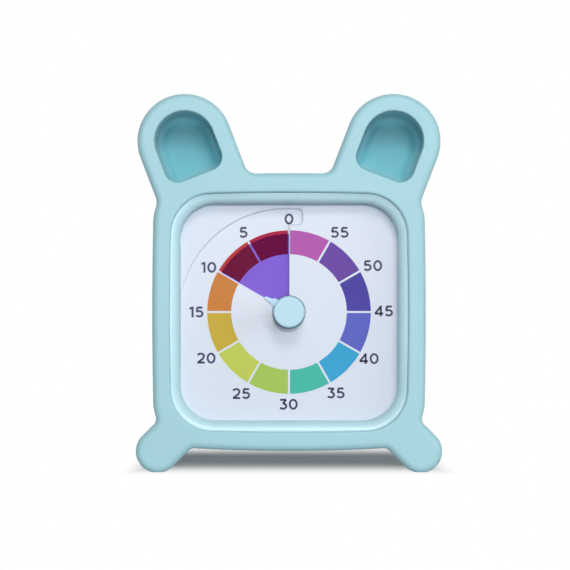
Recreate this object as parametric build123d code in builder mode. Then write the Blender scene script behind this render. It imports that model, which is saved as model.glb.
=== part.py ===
from build123d import *
import os
from math import atan2, cos, degrees, radians, sin, sqrt

# A visual countdown timer: a square quartz timer case inside a soft animal-shaped
# sleeve with two ears and two paws. The reader of the dial looks along +Y, so the
# pieces are drawn on planes that face -Y, centred on the dial. Sizes are in mm.

# ---- Sleeve: soft silicone cover -------------------------------------------------
body_width = 89.2
body_height = 90.6
body_corner = 15.5
side_bow = 0.7            # how far the left and right sides bulge at mid height
end_bow = 1.7             # how far the top and bottom bulge at mid width
sleeve_wall = 2.4
sleeve_lip = 2.4          # thickness of the frame that laps over the case's front
sleeve_depth = 41.0
sleeve_round = 2.2
lip_width = 5.75          # from the body's widest edge in to the opening, left and right
lip_height = 6.3          # from the body's highest edge in to the opening, top and bottom
opening_corner = 13.5
opening_bow = 0.8
lip_round = 0.8

ear_radius = 15.4
ear_inset = 10.6          # from the body's widest edge in to the centre of the ear's round cap
ear_lift = 10.4           # from the body's highest edge up to the centre of the cap
ear_tilt = 21.0
ear_reach = 30.0          # from the cap's centre down to the end inside the body
ear_thickness = 20.0
ear_outer_root = 4.9      # rounding where the ear meets the side
ear_inner_root = 3.9      # rounding where the ear meets the top edge
pocket_radius = 9.8
pocket_drop = 12.1
pocket_corner = 4.5
pocket_wall = 3.0         # left behind the scoop in an ear
pocket_floor_round = 4.2
pocket_rim_round = 0.5

paw_radius = 7.05
paw_inset = 1.7           # from the body's widest edge in to the paw's centre
paw_sink = 0.1            # from the body's lowest edge down to the paw's centre
paw_angle = 45.0
paw_reach = 14.0
paw_root = 2.6
paw_flat = 4.0            # width of the flat sole that the timer stands on

# ---- Case ------------------------------------------------------------------------
case_depth = 39.6
case_wall = 2.0
case_round = 1.2
front_panel = 3.4
bezel_round = 2.8
window_border = 8.9       # from the body's edge in to the square window, on its narrower pair
window_corner = 11.6
back_thickness = 2.4
rim_height = 1.6          # lip of the back cover that plugs into the case
rim_wall = 1.2

# ---- Dial stack, clamped between the front panel and the chassis -----------------
stack_margin = 1.6        # how far the lens and dial reach behind the window's edge
stack_corner = 14.5
lens_thickness = 1.2
plate_thickness = 0.5
spacer_wall = 0.8
chassis_thickness = 1.5
locating_wall = 1.2

# ---- Disk: a one-turn screw sheet that winds through the dial's slit -------------
screw_pitch = 4.0
disk_thickness = 0.2
disk_gap = 0.18           # running gap between the disk and the dial plate
rest_minutes = 10.0
hour_minutes = 60.0
hub_radius = 5.3
hub_proud = 0.5           # how far the hub stands out past each end of the disk
hub_hole = 5.5
arbor_grip = 4.8          # radius where the arm grows out of the hub
arm_length = 9.5
arm_step = 6.7            # radius of the step in the arm's lower edge
arm_rise = 0.95           # height of the arm's upper edge at the hub
arm_depth = 1.8           # depth of the arm's stepped lobe at the hub
lobe_thickness = 0.1      # thin enough to park behind the dial plate at zero
lobe_turn = 30.0          # arc of screw sheet that the lobe is cut from
step_blend = 0.4          # width over which the lobe steps and over which its tip tapers
step_outside = 0.55       # depth outside the step, as a share of the lobe's depth
step_inside = 0.85        # depth inside the step, as a share of the lobe's depth
disk_turn = 359.8         # a full turn less the cut where the disk's two ends part
slit_width = 0.12
ramp_edge = 0.7           # from the window's edge in to the ramp's outer wall
ramp_shift = 1.0          # the ramp's outer wall is centred this far down and left
ramp_wall = 0.6
ramp_overlap = 0.6        # how far the ramp runs on into the flat plate, in degrees
notch_width = 4.3
notch_height = 5.0
slit_margin = 3.15        # how far the slit runs on past the disk's edge
notch_corner = 1.4
ramp_bevel = 0.4          # slope that eases the rim of the ramp and the notch
bevel_runout = 8.0        # degrees over which the rim's wall and slope die out

# ---- Knob and arbor --------------------------------------------------------------
knob_radius = 5.05
knob_round = 0.45
knob_proud = 2.0          # how far the knob stands out in front of the sleeve
knob_gap = 0.15           # round the knob in the lens
hub_clearance = 0.3       # kept in front of the hub and behind it at the ends of its travel
knob_inset = 0.1          # how far the knob stops short of the lens's back
knob_socket = 7.0
arbor_radius = 2.0
arbor_flat = 1.4          # distance from the axis to the flat of the D
journal_radius = 1.6
running_gap = 0.06
collar_radius = 3.0
collar_thickness = 0.7
clutch_radius = 3.5
clutch_thickness = 0.3
clutch_ring_radius = 2.25
clutch_ring_thickness = 0.5

# ---- Quartz movement -------------------------------------------------------------
movement_size = 36.0
movement_corner = 3.0
movement_depth = 12.0
movement_split = 5.0
movement_wall = 1.2
lug_reach = 4.5
bush_wall = 1.4
bush_length = 2.0
gear_module = 0.4
tooth_depth = 1.2         # below the pitch circle, in modules
tooth_height = 0.85       # above the pitch circle, in modules
tooth_foot = 0.27         # half of a tooth at its foot, as a share of the tooth pitch
tooth_top = 0.10          # half of a tooth at its top, as a share of the tooth pitch
drive_teeth = 48
pinion_teeth = 8
second_teeth = 40
wheel_thickness = 0.8
drive_depth = 2.9         # from the chassis back to the drive wheel
wheel_step = 2.0          # from the drive wheel back to the second wheel
pinion_overhang = 0.2     # how far a pinion runs past the wheel that it drives
second_angle = 45.0       # direction from the arbor to the second wheel
rotor_angle = 160.0       # direction from the second wheel to the rotor
pivot_radius = 0.5
pivot_depth = 0.6
magnet_radius = 2.2
magnet_thickness = 1.4
magnet_step = 1.9         # from the second wheel back to the magnet
stator_thickness = 0.8
stator_inset = 0.3        # from the magnet's front back to the stator
stator_gap = 0.4
stator_ring = 1.6
stator_arm = 2.4
core_width = 1.8
bobbin_wall = 0.6
coil_radius = 2.8
coil_length = 13.0
coil_side = 13.0          # from the arbor across to the coil
coil_rise = 3.5           # from the arbor up to the coil's middle
knee_reach = 2.2          # how far the lower arm runs past the coil before it turns

# ---- Battery, board and back -----------------------------------------------------
battery_radius = 7.25
battery_length = 49.2
battery_nub_radius = 2.7
battery_nub = 1.3
battery_drop = 27.5       # from the dial's centre down to the battery's axis
battery_gap = 0.25
battery_edge = 0.5
tub_wall = 1.2
contact_width = 8.0
contact_height = 10.0
contact_thickness = 0.5
button_radius = 2.2
button_height = 1.0
spring_room = 3.9         # from the minus plate to the battery
spring_wire = 0.35
spring_radius = 4.2
spring_turns = 2.5
spring_taper = -8.0
door_margin = 1.5
door_thickness = 1.5
door_gap = 0.2
door_corner = 2.0
door_seat = 0.1
door_rib = 1.2
rib_length = 8.0
rib_inset = 1.0
grip_count = 4
grip_step = 1.8
grip_length = 8.0
grip_width = 0.8
grip_depth = 0.5
grip_inset = 3.0
screw_radius = 1.0
screw_clearance = 0.15
pilot_extra = 1.0         # how much deeper a pilot hole is than its screw
head_radius = 1.6
head_height = 1.3
head_sink = 0.1
chassis_screw_length = 6.0
case_screw_length = 7.5
boss_radius = 2.2
boss_offset = 2.25        # from the dial stack's round corner out to a chassis screw
side_rise = 18.0          # from the middle up or down to the back cover's screws
board_thickness = 1.2
board_width = 40.0
board_height = 13.0
board_corner = 1.0
board_rise = 27.0
board_depth = 8.0         # from the back cover in to the board
post_radius = 1.8
post_inset = 3.0
chip_size = 6.0
chip_height = 1.2
chip_shift = -4.0
capacitor_radius = 2.0
capacitor_height = 4.0
capacitor_shift = 5.0
crystal_length = 4.0
crystal_width = 2.0
crystal_shift = 11.0
side_station = 28.5       # how far the sounder and the switch sit from the middle
station_rise = 2.0
sounder_radius = 9.0
sounder_thickness = 0.5
sounder_depth = 2.0       # from the back cover in to the sounder
sounder_ledge = 0.8
sounder_clip = 1.0
disc_radius = 6.3
disc_thickness = 0.25
sound_hole = 0.9
sound_circle = 4.0
sound_holes = 6
switch_travel = 4.0
switch_depth = 3.6
switch_wall = 1.0
switch_border = 2.0
slider_width = 3.4
slider_length = 4.0
slider_inset = 0.3        # how far the slider stays below the back cover's face
slider_groove = 0.5
groove_step = 1.2
groove_depth = 0.3
recess_border = 2.0
recess_depth = 1.0
recess_corner = 2.0

# ---- Fits ------------------------------------------------------------------------
sleeve_fit = 0.3
seat_fit = 0.15
cover_fit = 0.2

# ---- Depth stations along Y, worked out from the sizes above ---------------------
case_back = (knob_proud + sleeve_lip + sleeve_fit / 2 + case_depth) / 2
sleeve_front = knob_proud - case_back
case_front = case_back - case_depth
knob_front = sleeve_front - knob_proud
window_back = case_front + front_panel
lens_back = window_back + lens_thickness
hub_length = screw_pitch + 2 * hub_proud
knob_back = lens_back - knob_inset
dial_zero = knob_back + hub_clearance + hub_proud + screw_pitch
chassis_front = dial_zero + screw_pitch + hub_proud + hub_clearance
chassis_back = chassis_front + chassis_thickness
movement_back_y = chassis_back + movement_depth
cover_front = case_back - back_thickness
head_seat = case_back - head_height - head_sink

# ---- Other worked-out sizes ------------------------------------------------------
opening_width = body_width - 2 * lip_width
opening_height = body_height - 2 * lip_height
ear_spread = body_width / 2 - ear_inset
ear_rise = body_height / 2 + ear_lift
paw_spread = body_width / 2 - paw_inset
paw_drop = body_height / 2 + paw_sink
window_size = min(body_width, body_height) - 2 * window_border
ramp_radius = window_size / 2 - ramp_edge
flap_reach = ramp_radius - ramp_shift - notch_height
disk_radius = flap_reach - slit_margin
dial_height = paw_drop + sqrt(paw_radius**2 - (paw_flat / 2) ** 2)
shell_inset = sleeve_wall + sleeve_fit
pocket_depth = ear_thickness - pocket_wall
stack_size = window_size + 2 * stack_margin
ramp_drop = plate_thickness + disk_thickness + 2 * disk_gap
ramp_turn = 360 * ramp_drop / screw_pitch
flat_middle = ramp_drop / 2
flat_front = flat_middle + plate_thickness / 2
flat_back = flat_middle - plate_thickness / 2
rest_angle = 360 * rest_minutes / hour_minutes
lead_height = screw_pitch * rest_angle / 360
noon = 90.0
hair = 0.01


def front(y):
    """Plane at depth y that faces the reader, centred on the dial."""
    return Plane(origin=(0, y, dial_height), x_dir=(1, 0, 0), z_dir=(0, -1, 0))


def toward(angle, length):
    """Point on the dial's plane at an angle from +X, counted anticlockwise."""
    return (length * cos(radians(angle)), length * sin(radians(angle)))


# ==== Outlines ====================================================================
def bowed_square(width, height, corner, bow_x, bow_y):
    """Rounded rectangle whose four sides are shallow arcs."""
    half_x, half_y = width / 2 - bow_x, height / 2 - bow_y
    with BuildSketch() as outline:
        with BuildLine():
            ThreePointArc((half_x, -half_y), (width / 2, 0), (half_x, half_y))
            ThreePointArc((half_x, half_y), (0, height / 2), (-half_x, half_y))
            ThreePointArc((-half_x, half_y), (-width / 2, 0), (-half_x, -half_y))
            ThreePointArc((-half_x, -half_y), (0, -height / 2), (half_x, -half_y))
        make_face()
        fillet(outline.vertices(), corner)
    return outline.sketch


def shell_outline(inset):
    """The sleeve's body outline, drawn smaller by an inset all round."""
    return bowed_square(
        body_width - 2 * inset,
        body_height - 2 * inset,
        body_corner - inset,
        side_bow,
        end_bow,
    )


def stack_outline(grow):
    """Outline shared by the lens, spacer and dial, grown by an amount all round."""
    with BuildSketch() as outline:
        RectangleRounded(stack_size + 2 * grow, stack_size + 2 * grow, stack_corner + grow)
    return outline.sketch


def sharp_corners(outline):
    """Corners where two edges of an outline being drawn meet at an angle."""
    corners = ShapeList()
    for vertex in outline.vertices():
        tangents = []
        for edge in outline.edges():
            for end in (0, 1):
                if (edge @ end - Vector(vertex)).length < hair:
                    tangents.append(edge % end)
        if abs(tangents[0].dot(tangents[1])) < 0.99:
            corners.append(vertex)
    return corners


def ear():
    """One ear: a tilted slot that reaches down inside the body."""
    with BuildSketch() as lobe:
        SlotCenterToCenter(ear_reach, 2 * ear_radius, rotation=90)
    return lobe.sketch


def silhouette(with_ears):
    """Body and paws, with the ears or without them, and rounded where they join."""
    with BuildSketch() as shape:
        add(shell_outline(0))
        for side in (-1, 1):
            paw = (side * paw_spread, -paw_drop)
            inward = toward(90 + side * paw_angle, paw_reach / 2)
            with Locations((paw[0] + inward[0], paw[1] + inward[1])):
                SlotCenterToCenter(paw_reach, 2 * paw_radius, rotation=90 + side * paw_angle)
        fillet(sharp_corners(shape), paw_root)
        if with_ears:
            for side in (-1, 1):
                down = toward(-90 - side * ear_tilt, ear_reach / 2)
                with Locations((side * ear_spread + down[0], ear_rise + down[1])):
                    add(ear(), rotation=-side * ear_tilt)
            fillet(sharp_corners(shape).sort_by(Axis.X)[:1], ear_outer_root)
            fillet(sharp_corners(shape).sort_by(Axis.X)[-1:], ear_outer_root)
            fillet(sharp_corners(shape), ear_inner_root)
    return shape.sketch


def ear_pocket():
    """Outline of the scoop in an ear, centred on the ear's round cap."""
    with BuildSketch() as pocket:
        with BuildLine():
            ThreePointArc((pocket_radius, 0), (0, pocket_radius), (-pocket_radius, 0))
            Polyline(
                (-pocket_radius, 0),
                (-pocket_radius, -pocket_drop),
                (pocket_radius, -pocket_drop),
                (pocket_radius, 0),
            )
        make_face()
        fillet(pocket.vertices().group_by(Axis.Y)[0], pocket_corner)
    return pocket.sketch


def arbor_section(grow):
    """D-shaped section of the arbor, grown for the bores that slide on it."""
    with BuildSketch() as section:
        Circle(arbor_radius + grow)
        with Locations((arbor_flat + grow, 0)):
            Rectangle(
                2 * arbor_radius,
                4 * arbor_radius,
                align=(Align.MIN, Align.CENTER),
                mode=Mode.SUBTRACT,
            )
    return section.sketch


def bar(start, end, width):
    """Flat bar with round ends between two points."""
    run = Vector(*end) - Vector(*start)
    middle = (Vector(*end) + Vector(*start)) / 2
    with BuildSketch() as shape:
        with Locations((middle.X, middle.Y)):
            SlotCenterToCenter(run.length, width, rotation=degrees(atan2(run.Y, run.X)))
    return shape.sketch


def gear(teeth, bore, phase):
    """Spur gear outline with straight flanks; a tooth stands at the phase angle."""
    pitch_radius = gear_module * teeth / 2
    root_radius = pitch_radius - tooth_depth * gear_module
    tip_radius = pitch_radius + tooth_height * gear_module
    step = 360 / teeth
    points = []
    for tooth in range(teeth):
        middle = phase + tooth * step
        points.append(toward(middle - tooth_foot * step, root_radius))
        points.append(toward(middle - tooth_top * step, tip_radius))
        points.append(toward(middle + tooth_top * step, tip_radius))
        points.append(toward(middle + tooth_foot * step, root_radius))
    with BuildSketch() as outline:
        Polygon(*points, align=None)
        if bore:
            Circle(bore, mode=Mode.SUBTRACT)
    return outline.sketch


# ==== Screw-shaped pieces =========================================================
def screw_sheet(inner, outer, thickness, turn):
    """Sheet that climbs one pitch per turn; its middle starts at +X, height 0."""
    with BuildPart() as sheet:
        with BuildLine() as climb:
            Helix(pitch=screw_pitch, height=screw_pitch * turn / 360, radius=outer)
        section_plane = Plane(climb.line @ 0, x_dir=(-1, 0, 0), z_dir=climb.line % 0)
        with BuildSketch(section_plane):
            with Locations(((outer - inner) / 2, 0)):
                Rectangle(outer - inner, thickness)
        sweep(is_frenet=True)
    return sheet.part


def dial_ramp():
    """The ramp panel of the dial, trimmed to the ramp's outer wall."""
    with BuildPart() as ramp:
        add(screw_sheet(hub_hole, ramp_radius + 3 * ramp_shift, plate_thickness, ramp_turn + ramp_overlap))
        with BuildSketch(Plane.XY.offset(-screw_pitch)):
            with Locations((-ramp_shift, ramp_shift)):
                Circle(ramp_radius + ramp_bevel)
        extrude(amount=2 * screw_pitch, mode=Mode.INTERSECT)
    return ramp.part


def arm_lobe():
    """Stepped lobe of the hub's arm, screw-shaped like the disk that it lies on."""
    start = Location((0, 0, -screw_pitch * lobe_turn / 360), (0, 0, -lobe_turn))
    with BuildPart() as lobe:
        add(screw_sheet(arbor_grip, arm_length, lobe_thickness, lobe_turn).moved(start))
        with BuildSketch(Plane.XY.offset(-screw_pitch)):
            Polygon(
                (arbor_grip, 0),
                (arm_length, 0),
                (arm_length - step_blend, -step_blend * arm_depth),
                (arm_step + step_blend / 2, -step_outside * arm_depth),
                (arm_step - step_blend / 2, -step_inside * arm_depth),
                (arbor_grip, -arm_depth),
                align=None,
            )
        extrude(amount=2 * screw_pitch, mode=Mode.INTERSECT)
    return lobe.part


def noon_sector(turn, reach):
    """Sector from 12 o'clock anticlockwise through an angle."""
    with BuildSketch() as sector:
        Polygon(
            (0, 0),
            toward(noon, reach),
            toward(noon + turn / 2, 2 * reach),
            toward(noon + turn, reach),
            align=None,
        )
    return sector.sketch


def sunken_area(turn):
    """Outline of the ramp through an angle from 12 o'clock, with its notch."""
    with BuildSketch() as area:
        with Locations((-ramp_shift, -ramp_shift)):
            Circle(ramp_radius)
        add(noon_sector(turn, 2 * ramp_radius), mode=Mode.INTERSECT)
        with Locations((-notch_width, flap_reach)):
            Rectangle(2 * notch_width, notch_height, align=(Align.MIN, Align.MIN))
        fillet(area.vertices().sort_by(Axis.X)[-2:], notch_corner)
    return area.sketch


def ramp_footprint():
    """What the ramp, its notch and the slit take out of the flat plate."""
    with BuildSketch() as area:
        add(sunken_area(ramp_turn))
        Rectangle(slit_width, flap_reach + hair, align=(Align.MIN, Align.MIN))
    return area.sketch


def rim_bevel():
    """What a 45 degree slope takes off the rim of the ramp and the notch."""
    with BuildPart() as tool:
        with BuildSketch(Plane.XY.offset(-ramp_bevel)):
            add(sunken_area(ramp_turn + bevel_runout))
        extrude(amount=ramp_bevel, taper=-45)
        # keep it off the slit's edge and off the flat past the ramp's end
        with BuildSketch(Plane.XY.offset(-ramp_bevel)):
            with Locations((0, flap_reach - ramp_bevel)):
                Rectangle(ramp_radius, 2 * ramp_radius, align=(Align.MIN, Align.MAX))
            with Locations(Location((0, 0), noon + ramp_turn)):
                Rectangle(2 * ramp_radius, ramp_radius, align=(Align.MIN, Align.MIN))
        extrude(amount=ramp_bevel, mode=Mode.SUBTRACT)
    return tool.part


# ==== Sleeve ======================================================================
with BuildPart() as sleeve:
    with BuildSketch(front(sleeve_front)):
        add(silhouette(with_ears=True))
    extrude(amount=-ear_thickness)
    fillet(sleeve.faces().sort_by(Axis.Y)[-1].outer_wire().edges(), sleeve_round)
    with BuildSketch(front(sleeve_front)):
        add(silhouette(with_ears=False))
    extrude(amount=-sleeve_depth)
    fillet(sleeve.faces().sort_by(Axis.Y)[0].outer_wire().edges(), sleeve_round)
    fillet(sleeve.faces().sort_by(Axis.Y)[-1].outer_wire().edges(), sleeve_round / 2)
    # hollow for the case, open at the back
    with BuildSketch(front(sleeve_front + sleeve_lip)):
        add(shell_outline(sleeve_wall))
    extrude(amount=-sleeve_depth, mode=Mode.SUBTRACT)
    # opening of the front frame
    with BuildSketch(front(sleeve_front)):
        add(bowed_square(opening_width, opening_height, opening_corner, opening_bow, opening_bow))
    extrude(amount=-sleeve_lip, mode=Mode.SUBTRACT)
    fillet(sleeve.faces().sort_by(Axis.Y)[0].inner_wires()[0].edges(), lip_round)
    # scoops in the ears
    for side in (-1, 1):
        with BuildSketch(front(sleeve_front)):
            with Locations((side * ear_spread, ear_rise)):
                add(ear_pocket(), rotation=-side * ear_tilt)
        extrude(amount=-pocket_depth, mode=Mode.SUBTRACT)
    pocket_floor = sleeve_front + pocket_depth
    fillet(
        sleeve.edges().filter_by_position(Axis.Y, pocket_floor - hair, pocket_floor + hair),
        pocket_floor_round,
    )
    rims = sleeve.faces().sort_by(Axis.Y)[0].inner_wires().filter_by_position(
        Axis.Z, dial_height + opening_height / 2, dial_height + 2 * ear_rise
    )
    fillet(rims.edges(), pocket_rim_round)
    # flat soles
    with BuildSketch(Plane.XY):
        Rectangle(4 * body_width, 4 * sleeve_depth)
    extrude(amount=-paw_radius, mode=Mode.SUBTRACT)

# ==== Case ========================================================================
corner_reach = (stack_size / 2 - stack_corner) * sqrt(2) + stack_corner + boss_offset
boss_corner = toward(45, corner_reach)
side_boss = (body_width / 2 - shell_inset - case_wall - boss_radius / 2, side_rise)
corner_spots = [(sx * boss_corner[0], sz * boss_corner[1]) for sx in (-1, 1) for sz in (-1, 1)]
side_spots = [(sx * side_boss[0], sz * side_boss[1]) for sx in (-1, 1) for sz in (-1, 1)]

with BuildPart() as front_case:
    with BuildSketch(front(case_front)):
        add(shell_outline(shell_inset))
    extrude(amount=-(cover_front - case_front))
    fillet(front_case.faces().sort_by(Axis.Y)[0].edges(), case_round)
    # inside, open at the back
    with BuildSketch(front(window_back)):
        add(shell_outline(shell_inset + case_wall))
    extrude(amount=-case_depth, mode=Mode.SUBTRACT)
    # window with its rounded bezel
    with BuildSketch(front(case_front)):
        RectangleRounded(window_size, window_size, window_corner)
    extrude(amount=-front_panel, mode=Mode.SUBTRACT)
    fillet(front_case.faces().sort_by(Axis.Y)[0].inner_wires()[0].edges(), bezel_round)
    # wall that locates the lens, the spacer and the dial
    with BuildSketch(front(window_back)):
        add(stack_outline(seat_fit + locating_wall))
        add(stack_outline(seat_fit), mode=Mode.SUBTRACT)
    extrude(amount=-(chassis_front - window_back))
    # corner bosses for the chassis and side bosses for the back cover
    with BuildSketch(front(window_back)):
        with Locations(*corner_spots):
            Circle(boss_radius)
        add(shell_outline(shell_inset + case_wall / 2), mode=Mode.INTERSECT)
        add(stack_outline(seat_fit + hair), mode=Mode.SUBTRACT)
    extrude(amount=-(chassis_front - window_back))
    with BuildSketch(front(window_back)):
        with Locations(*side_spots):
            Circle(boss_radius)
        add(shell_outline(shell_inset + case_wall / 2), mode=Mode.INTERSECT)
        add(stack_outline(seat_fit + hair), mode=Mode.SUBTRACT)
    extrude(amount=-(cover_front - rim_height - hair - window_back))
    # pilot holes
    with BuildSketch(front(chassis_back)):
        with Locations(*corner_spots):
            Circle(screw_radius)
    extrude(amount=chassis_screw_length + pilot_extra, mode=Mode.SUBTRACT)
    with BuildSketch(front(head_seat)):
        with Locations(*side_spots):
            Circle(screw_radius)
    extrude(amount=case_screw_length + pilot_extra, mode=Mode.SUBTRACT)

with BuildPart() as lens:
    with BuildSketch(front(window_back)):
        add(stack_outline(0))
        Circle(knob_radius + knob_gap, mode=Mode.SUBTRACT)
    extrude(amount=-lens_thickness)

with BuildPart() as dial_frame:
    with BuildSketch(front(lens_back)):
        add(stack_outline(0))
        RectangleRounded(window_size, window_size, window_corner, mode=Mode.SUBTRACT)
    extrude(amount=-(dial_zero - flat_front - lens_back))

# ==== Dial plate with the ramp and the slit =======================================
with BuildPart(front(dial_zero)) as dial_plate:
    with BuildSketch(front(dial_zero - flat_back)):
        add(stack_outline(0))
        Circle(hub_hole, mode=Mode.SUBTRACT)
        add(ramp_footprint(), mode=Mode.SUBTRACT)
    extrude(amount=plate_thickness)
    # wall round the ramp's outer edge
    with BuildSketch(front(dial_zero + flat_front)):
        with Locations((-ramp_shift, -ramp_shift)):
            Circle(ramp_radius + ramp_wall)
            Circle(ramp_radius, mode=Mode.SUBTRACT)
        add(noon_sector(ramp_turn - bevel_runout, 2 * ramp_radius), mode=Mode.INTERSECT)
    extrude(amount=2 * flat_front)
    # floor and walls of the notch beside 12 o'clock
    with BuildSketch(front(dial_zero + flat_front)):
        with Locations((-ramp_wall, flap_reach - ramp_wall)):
            Rectangle(
                notch_width + 2 * ramp_wall,
                notch_height + 2 * ramp_wall,
                align=(Align.MIN, Align.MIN),
            )
    extrude(amount=plate_thickness)
    with BuildSketch(front(dial_zero + flat_front)):
        with Locations((slit_width, flap_reach - ramp_wall)):
            Rectangle(
                notch_width + ramp_wall - slit_width,
                notch_height + 2 * ramp_wall,
                align=(Align.MIN, Align.MIN),
            )
        add(ramp_footprint(), mode=Mode.SUBTRACT)
    extrude(amount=2 * flat_front)
    # eased rim, and the ramp itself
    add(rim_bevel().moved(Location((0, 0, flat_front))), mode=Mode.SUBTRACT)
    ramp_place = Location((0, 0, -ramp_drop / 2), (0, 0, noon))
    add(dial_ramp().moved(ramp_place))

# ==== Disk that screws out through the slit =======================================
with BuildPart(front(dial_zero)) as time_disk:
    trailing_place = Location((0, 0, lead_height - screw_pitch), (0, 0, noon + rest_angle))
    add(screw_sheet(hub_radius, disk_radius, disk_thickness, disk_turn).moved(trailing_place))

with BuildPart(front(dial_zero)) as disk_hub:
    with BuildSketch(front(dial_zero - lead_height - hub_proud)):
        Circle(hub_radius)
        add(arbor_section(running_gap), mode=Mode.SUBTRACT)
    extrude(amount=-hub_length)
    # arm along the disk's leading edge: a rib, and a stepped lobe that lies on the disk
    with BuildSketch(front(dial_zero - lead_height - disk_thickness / 2)):
        with Locations(Location((0, 0), noon + rest_angle)):
            Polygon((arbor_grip, arm_rise), (arm_length, 0), (arbor_grip, 0), align=None)
    extrude(amount=hub_proud - disk_thickness / 2)
    lobe_height = lead_height + (disk_thickness + lobe_thickness) / 2
    add(arm_lobe().moved(Location((0, 0, lobe_height), (0, 0, noon + rest_angle))))

# ==== Knob and arbor ==============================================================
with BuildPart() as setting_knob:
    with BuildSketch(front(knob_front)):
        Circle(knob_radius)
    extrude(amount=-(knob_back - knob_front))
    fillet(setting_knob.faces().sort_by(Axis.Y)[0].edges(), knob_round)
    with BuildSketch(front(knob_back)):
        add(arbor_section(0))
    extrude(amount=knob_socket, mode=Mode.SUBTRACT)

arbor_shoulder = chassis_front - hub_clearance / 2
arbor_end = movement_back_y - movement_wall - running_gap
drive_front = chassis_back + drive_depth
clutch_front = drive_front + wheel_thickness + running_gap
with BuildPart() as knob_shaft:
    with BuildSketch(front(knob_back - knob_socket)):
        add(arbor_section(0))
    extrude(amount=-(arbor_shoulder - knob_back + knob_socket))
    with BuildSketch(front(arbor_shoulder)):
        Circle(journal_radius)
    extrude(amount=-(arbor_end - arbor_shoulder))
    # collar that the friction clutch presses the drive wheel against
    with BuildSketch(front(drive_front - running_gap)):
        Circle(collar_radius)
    extrude(amount=collar_thickness)

with BuildPart() as clutch_spring:
    with BuildSketch(front(clutch_front)):
        Circle(clutch_radius)
        Circle(journal_radius, mode=Mode.SUBTRACT)
    extrude(amount=-clutch_thickness)
    with BuildSketch(front(clutch_front + clutch_thickness)):
        Circle(clutch_ring_radius)
        Circle(journal_radius, mode=Mode.SUBTRACT)
    extrude(amount=-clutch_ring_thickness)

# ==== Chassis =====================================================================
lug_spots = [toward(angle, movement_size / 2 + lug_reach / 2) for angle in (0, 180)]
with BuildPart() as chassis:
    with BuildSketch(front(chassis_front)):
        add(shell_outline(shell_inset + case_wall + cover_fit))
        Circle(journal_radius + hub_clearance, mode=Mode.SUBTRACT)
        with Locations(*corner_spots):
            Circle(screw_radius + screw_clearance, mode=Mode.SUBTRACT)
        with Locations(*side_spots):
            Circle(boss_radius + cover_fit, mode=Mode.SUBTRACT)
        with Locations(*lug_spots):
            Circle(screw_radius, mode=Mode.SUBTRACT)
    extrude(amount=-chassis_thickness)
    with BuildSketch(front(chassis_front)):
        add(stack_outline(0))
        add(stack_outline(-spacer_wall), mode=Mode.SUBTRACT)
    extrude(amount=chassis_front - dial_zero + flat_back)


def pan_screws(spots, head_y, length):
    """Pan-head screws whose heads sit on a face at depth head_y."""
    with BuildPart() as screws:
        with BuildSketch(front(head_y)):
            with Locations(*spots):
                Circle(head_radius)
        extrude(amount=-head_height)
        with BuildSketch(front(head_y)):
            with Locations(*spots):
                Circle(screw_radius)
        extrude(amount=length)
    return screws


chassis_screws = pan_screws(corner_spots, chassis_back, chassis_screw_length)

# ==== Quartz movement =============================================================
drive_radius = gear_module * drive_teeth / 2
pinion_radius = gear_module * pinion_teeth / 2
second_radius = gear_module * second_teeth / 2
second_at = toward(second_angle, drive_radius + pinion_radius)
rotor_step = toward(rotor_angle, second_radius + pinion_radius)
rotor_at = (second_at[0] + rotor_step[0], second_at[1] + rotor_step[1])
second_front = drive_front + wheel_step
inner_front = chassis_back + movement_wall
inner_back = movement_back_y - movement_wall
pivot_front = inner_front - pivot_depth + running_gap
pivot_length = inner_back + pivot_depth - running_gap - pivot_front
magnet_front = second_front + magnet_step
stator_front = magnet_front + stator_inset


def movement_shell(outer_y, depth, lugs, holes):
    """Half of the movement's housing, open on the side away from outer_y."""
    away = 1 if depth > 0 else -1
    with BuildPart() as shell:
        with BuildSketch(front(outer_y)):
            RectangleRounded(movement_size, movement_size, movement_corner)
        extrude(amount=-depth)
        with BuildSketch(front(outer_y + away * movement_wall)):
            inner = movement_size - 2 * movement_wall
            RectangleRounded(inner, inner, movement_corner - movement_wall)
        extrude(amount=-(depth - away * movement_wall), mode=Mode.SUBTRACT)
        if lugs:
            with BuildSketch(front(outer_y)):
                for angle in (0, 180):
                    add(bar((0, 0), toward(angle, movement_size / 2 + lug_reach / 2), 2 * lug_reach))
                inner = movement_size - 2 * movement_wall
                Rectangle(inner, inner, mode=Mode.SUBTRACT)
                with Locations(*lug_spots):
                    Circle(screw_radius + screw_clearance, mode=Mode.SUBTRACT)
            extrude(amount=-movement_wall)
        with BuildSketch(front(outer_y + away * (movement_wall - pivot_depth))):
            with Locations(second_at, rotor_at):
                Circle(pivot_radius + running_gap)
        extrude(amount=-away * pivot_depth, mode=Mode.SUBTRACT)
        if holes:
            with BuildSketch(front(outer_y)):
                Circle(journal_radius + running_gap)
            extrude(amount=-away * movement_wall, mode=Mode.SUBTRACT)
    return shell


with BuildPart() as movement_front:
    add(movement_shell(chassis_back, movement_split, lugs=True, holes=True).part)

with BuildPart() as movement_rear:
    add(movement_shell(movement_back_y, movement_split - movement_depth, lugs=False, holes=False).part)
    # bush that carries the end of the arbor
    with BuildSketch(front(inner_back)):
        Circle(journal_radius + bush_wall)
        Circle(journal_radius + running_gap, mode=Mode.SUBTRACT)
    extrude(amount=bush_length)

movement_screws = pan_screws(lug_spots, chassis_back + movement_wall, movement_wall + chassis_thickness)

with BuildPart() as drive_wheel:
    with BuildSketch(front(drive_front)):
        add(gear(drive_teeth, journal_radius + running_gap, second_angle))
    extrude(amount=-wheel_thickness)

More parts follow.
